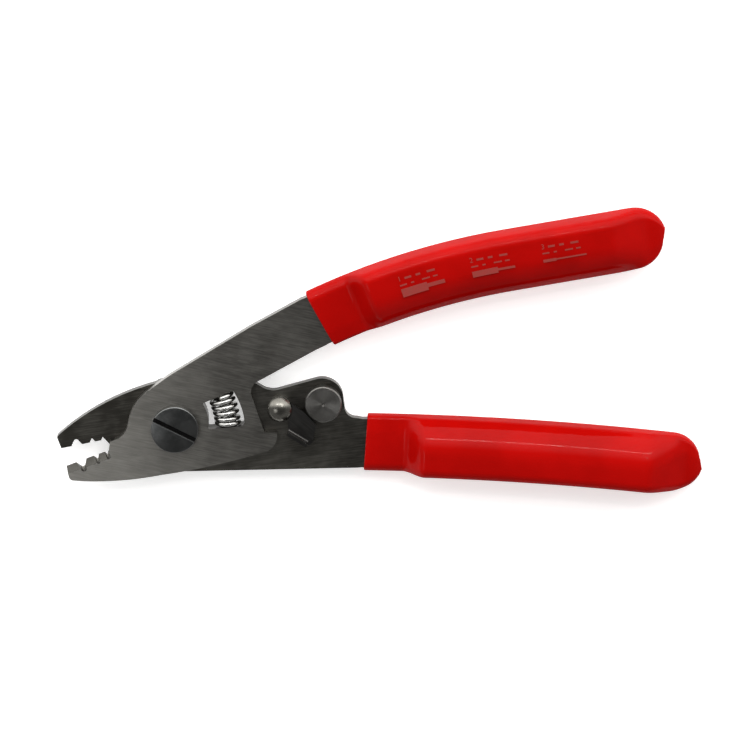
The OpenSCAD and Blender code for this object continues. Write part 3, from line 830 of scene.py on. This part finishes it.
@dataclass
class ReturnSpring:
    """Round-wire coil bent on an arc between the two seats of the window."""

    pole: Point = (-14.32, -2.557)
    arc_radius: float = 28.2
    foot: float = 5.65
    head: float = 23.15
    centre_z: float = 5.725
    wire: float = 1.1
    outer: float = 6.9
    turns: float = 5.25
    gap: float = 0.05
    closed_pitch: float = 1.05

    def points(self, per_turn: int = 40) -> list[Vector]:
        """Points of the wire's centre line, in metres."""
        coil = (self.outer - self.wire) / 2
        wire = math.degrees(self.wire / self.arc_radius)
        gap = math.degrees(self.gap / self.arc_radius)
        closed = wire * self.closed_pitch
        first, last = self.foot + gap + wire / 2, self.head - gap - wire / 2
        count = round(self.turns * per_turn)
        points = []
        for k in range(count + 1):
            turn = self.turns * k / count
            if turn < 1:
                rise = first + closed * turn
            elif turn > self.turns - 1:
                rise = last - closed * (self.turns - turn)
            else:
                rise = first + closed + (last - first - 2 * closed) * (turn - 1) / (self.turns - 2)
            reach = self.arc_radius + coil * math.cos(2 * math.pi * turn)
            across, up = math.cos(math.radians(rise)), math.sin(math.radians(rise))
            points.append(Vector((self.pole[0] + reach * across, self.pole[1] + reach * up,
                                  self.centre_z + coil * math.sin(2 * math.pi * turn))) * MM)
        return points

    def build(self, palette: Palette) -> bpy.types.Object:
        """Draw the wire along its centre line and bend it between the two levers."""
        points = self.points()
        deselect()
        bpy.ops.curve.primitive_nurbs_path_add()
        curve = bpy.context.object
        curve.data.splines.clear()
        spline = curve.data.splines.new("POLY")
        spline.points.add(len(points) - 1)
        for mark, point in zip(spline.points, points):
            mark.co = (*point, 1.0)
        curve.data.bevel_depth = self.wire / 2 * MM
        curve.data.bevel_resolution = 5
        curve.data.use_fill_caps = True
        curve.location = (0.0, 0.0, 0.0)
        make_active(curve)
        bpy.ops.object.convert(target="MESH")
        piece = settle(named("coil_spring"))
        shade(piece, 50.0)
        palette.paint(piece, "spring_wire")
        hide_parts("return_spring")
        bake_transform(piece)
        return piece


@dataclass
class PivotScrew:
    """Slotted cylinder-head screw that the levers turn on."""

    head_d: float = 12.2
    head_h: float = 1.8
    head_z: float = 8.3
    shank_d: float = 6.0
    thread_d: float = 5.0
    thread_z: float = 3.3
    into_thread: float = 0.05
    into_head: float = 0.2
    chamfer: float = 0.3
    deburr: float = 0.06
    slot_width: float = 1.15
    slot_depth: float = 1.1
    slot_angle: float = -27.0

    def cylinder(self, diameter: float, low: float, high: float, corners: int = 96) -> bpy.types.Object:
        """Add an upright cylinder about the pivot axis, in millimetres."""
        deselect()
        bpy.ops.mesh.primitive_cylinder_add(
            vertices=corners, radius=diameter / 2 * MM, depth=(high - low) * MM,
            location=(0.0, 0.0, (low + high) / 2 * MM))
        return settle(bpy.context.object)

    def build(self, palette: Palette) -> bpy.types.Object:
        """Turn the head and shank, cut the slot and dress the screw."""
        top = self.head_z + self.head_h
        piece = self.cylinder(self.head_d, self.head_z, top)
        bpy.ops.object.mode_set(mode="EDIT")
        bpy.ops.mesh.select_mode(type="FACE")
        mesh = bmesh.from_edit_mesh(piece.data)
        for face in mesh.faces:
            face.select_set(face.normal.z > 0.9)
        bmesh.update_edit_mesh(piece.data)
        bpy.ops.mesh.bevel(offset=self.chamfer * MM, segments=3, profile=0.5)
        bpy.ops.object.mode_set(mode="OBJECT")
        shank = self.cylinder(
            self.shank_d, self.thread_z - self.into_thread, self.head_z + self.into_head, 64)
        thread = self.cylinder(self.thread_d, 0.0, self.thread_z, 64)
        modify(thread, "BEVEL", width=self.chamfer * MM, segments=2, limit_method="ANGLE")
        deselect()
        bpy.ops.mesh.primitive_cube_add(size=1.0)
        slot = bpy.context.object
        slot.scale = (2 * self.head_d * MM, self.slot_width * MM, 2 * self.slot_depth * MM)
        slot.rotation_euler = (0.0, 0.0, math.radians(self.slot_angle))
        slot.location = (0.0, 0.0, top * MM)
        settle(slot)
        for tool, operation in ((shank, "UNION"), (thread, "UNION"), (slot, "DIFFERENCE")):
            modify(piece, "BOOLEAN", object=tool, operation=operation, solver="EXACT")
        for tool in (shank, thread, slot):
            bpy.data.objects.remove(tool)
        make_active(piece)
        piece = named("slotted_pivot_screw")
        modify(piece, "BEVEL", width=self.deburr * MM, segments=1, limit_method="ANGLE",
               angle_limit=math.radians(60))
        shade(piece, 35.0)
        palette.paint(piece, "screw_steel")
        across = Vector((*turned((0.0, 1.0), self.slot_angle), 0.0))
        palette.touch(piece, "slot_shadow", lambda face: (
            abs(face.center.dot(across)) < (self.slot_width / 2 + 0.02) * MM
            and self.head_z * MM < face.center.z < (top - 0.1) * MM
            and face.center.xy.length < (self.head_d / 2 - 0.05) * MM))
        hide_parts("pivot_screw")
        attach(piece, Body.REAR.value)
        return piece


@dataclass(frozen=True)
class DressedNode:
    """A frame node kept in shape, with its rims rounded and a finish of its own."""

    node: str
    name: str
    finish: str
    slot: str
    body: Body
    rim: float = 0.12
    smooth: float = 30.0
    sharp_left_of: float = NOWHERE
    honed_left_of: float = NOWHERE

    def is_honed(self, face: bpy.types.MeshPolygon) -> bool:
        """Say whether a face is one of the jaw's ground slopes, or one of its walls that face +y."""
        rise = abs(face.normal.z)
        slope = 0.02 < rise < 0.97
        wall = rise < 0.02 and face.normal.y > 0.2
        return face.center.x < self.honed_left_of * MM and (slope or wall)

    def build(self, palette: Palette) -> bpy.types.Object:
        """Copy, round and dress the node."""
        limit = self.sharp_left_of * MM
        piece = dressed_copy(self.node, self.name, self.rim, lambda p: p.x < limit, self.smooth)
        palette.paint(piece, self.finish)
        if self.honed_left_of > NOWHERE:
            palette.touch(piece, "honed_steel", self.is_honed)
        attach(piece, self.body.value)
        return piece


HARDWARE = (
    DressedNode("front_lever", "front_lever_plate", "front_steel", "lever_front", Body.FRONT,
                0.13, 30.0, sharp_left_of=-16.5, honed_left_of=-15.5),
    DressedNode("rear_lever", "rear_lever_plate", "rear_steel", "lever_rear", Body.REAR,
                0.13, 30.0, sharp_left_of=-16.5),
    DressedNode("latch_plate", "latch_claw_plate", "latch_steel", "latch", Body.LATCH, 0.08),
    DressedNode("latch_rivet", "domed_latch_rivet", "nickel", "rivet", Body.REAR, 0.0, 40.0),
    DressedNode("latch_spacer", "latch_spacer_ring", "zinc", "hardware", Body.REAR, 0.0, 40.0),
    DressedNode("stop_disc", "closing_stop_disc", "stop_steel", "stop", Body.REAR, 0.05, 25.0),
    DressedNode("stop_washer", "stop_washer_ring", "zinc", "hardware", Body.REAR, 0.05, 40.0),
    DressedNode("stop_nut", "stop_hex_nut", "zinc", "hardware", Body.REAR, 0.08, 30.0),
    DressedNode("pivot_washer", "pivot_washer_ring", "zinc", "hardware", Body.REAR, 0.05, 40.0),
    DressedNode("pivot_nut", "pivot_hex_nut", "zinc", "hardware", Body.REAR, 0.08, 30.0),
)


# ---------------------------------------------------------------- studio


@dataclass(frozen=True)
class Softbox:
    """Rectangular studio light aimed at the tool."""

    name: str
    azimuth: float
    elevation: float
    distance: float
    size: tuple[float, float]
    power: float
    colour: Colour = (1.0, 1.0, 1.0)

    def build(self, target: Vector) -> None:
        """Place the light on its own side of the target."""
        a, e = math.radians(self.azimuth), math.radians(self.elevation)
        way = Vector((math.cos(a) * math.cos(e), math.sin(a) * math.cos(e), math.sin(e)))
        data = bpy.data.lights.new(self.name, "AREA")
        data.shape = "RECTANGLE"
        data.size, data.size_y = self.size
        data.energy = self.power
        data.color = self.colour
        light = bpy.data.objects.new(self.name, data)
        light.location = target + way * self.distance
        light.rotation_mode = "QUATERNION"
        light.rotation_quaternion = (-way).to_track_quat("-Z", "Y")
        bpy.context.scene.collection.objects.link(light)


@dataclass
class Studio:
    """Pale floor, soft lights and the camera."""

    target: Vector = field(default_factory=lambda: Vector((0.0514, 0.01385, 0.007)))
    tilt: float = 15.0
    distance: float = 3.0
    view_width: float = 0.1923
    table_glow: float = 0.42
    lights: tuple[Softbox, ...] = (
        Softbox("key_strip", 92.0, 48.0, 0.9, (0.9, 0.018), 2.4),
        Softbox("left_lamp", 197.0, 52.0, 0.32, (0.12, 0.12), 0.14),
        Softbox("small_spark", 62.0, 58.0, 0.8, (0.035, 0.035), 0.35),
    )

    def camera(self) -> None:
        """Place a long-lens camera above the tool, leaning towards its top edge."""
        data = bpy.data.cameras.new("camera")
        data.sensor_width = 36.0
        data.lens = 36.0 * self.distance / self.view_width
        data.clip_end = 20.0
        camera = bpy.data.objects.new("camera", data)
        lean = math.radians(self.tilt)
        back = Vector((0.0, math.sin(lean), math.cos(lean)))
        up = Vector((0.0, math.cos(lean), -math.sin(lean)))
        right = up.cross(back)
        turn = Matrix((right, up, back)).transposed().to_4x4()
        camera.matrix_world = Matrix.Translation(self.target + back * self.distance) @ turn
        bpy.context.scene.collection.objects.link(camera)
        bpy.context.scene.camera = camera

    def floor(self) -> None:
        """Lay a wide matt floor under the tool, with a faint glow of its own."""
        deselect()
        bpy.ops.mesh.primitive_plane_add(size=4.0, location=(0.05, 0.0, -0.0001))
        floor = settle(named("pale_floor"))
        material, nodes, shader = new_material("pale_paper")
        noise = nodes.add("TexNoise", Scale=40.0)
        place = nodes.add("TexCoord")
        nodes.link(place.outputs["Object"], noise.inputs["Vector"])
        nodes.link(nodes.mix(noise.outputs["Fac"], (0.93, 0.93, 0.93), (0.95, 0.95, 0.95)),
                   shader.inputs["Base Color"])
        shader.inputs["Roughness"].default_value = 0.8
        shader.inputs["Emission Color"].default_value = (1.0, 1.0, 1.0, 1.0)
        shader.inputs["Emission Strength"].default_value = self.table_glow
        floor.data.materials.append(material)

    def surroundings(self) -> None:
        """A bright wall of light on the tool's upper side, grey walls and a dark ceiling."""
        world = bpy.data.worlds.new("studio")
        bpy.context.scene.world = world
        world.use_nodes = True
        nodes = Nodes(world.node_tree)
        place = nodes.add("TexCoord")
        split = nodes.add("SeparateXYZ")
        nodes.link(place.outputs["Generated"], split.inputs[0])
        side = nodes.maths("MULTIPLY_ADD", split.outputs["Z"], -0.25, split.outputs["Y"])
        walls = nodes.spread(split.outputs["Z"], 0.55, 0.9, 0.5, 0.2)
        level = nodes.maths("ADD", walls, nodes.spread(side, 0.0, 0.42, 0.0, 2.9))
        background = nodes.add("Background", Color=(1.0, 0.99, 0.975, 1.0))
        nodes.link(level, background.inputs["Strength"])
        output = nodes.add("OutputWorld")
        nodes.link(background.outputs[0], output.inputs[0])

    def build(self) -> None:
        """Set the whole stage."""
        self.camera()
        self.floor()
        self.surroundings()
        for light in self.lights:
            light.build(self.target)
        bpy.context.scene.view_settings.view_transform = "Standard"


def main() -> None:
    """Load the frame, build each piece in order and set the stage."""
    logging.basicConfig(level=logging.INFO, format="%(message)s")
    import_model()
    palette = Palette()
    palette.build()
    front_grip = DippedGrip("upper_dipped_grip", "front_grip", Body.FRONT, FRONT_LINE, 13.5, 91.3, 5.75)
    rear_grip = DippedGrip("lower_dipped_grip", "rear_grip", Body.REAR, REAR_LINE, 12.9, 86.5, 3.2)
    builders = (*HARDWARE, PivotScrew(), ReturnSpring(), front_grip, rear_grip, PrintedKey(front_grip))
    for builder in builders:
        piece = builder.build(palette)
        log.info("%s: %d faces", piece.name, len(piece.data.polygons))
    Studio().build()


if __name__ == "__main__":
    main()
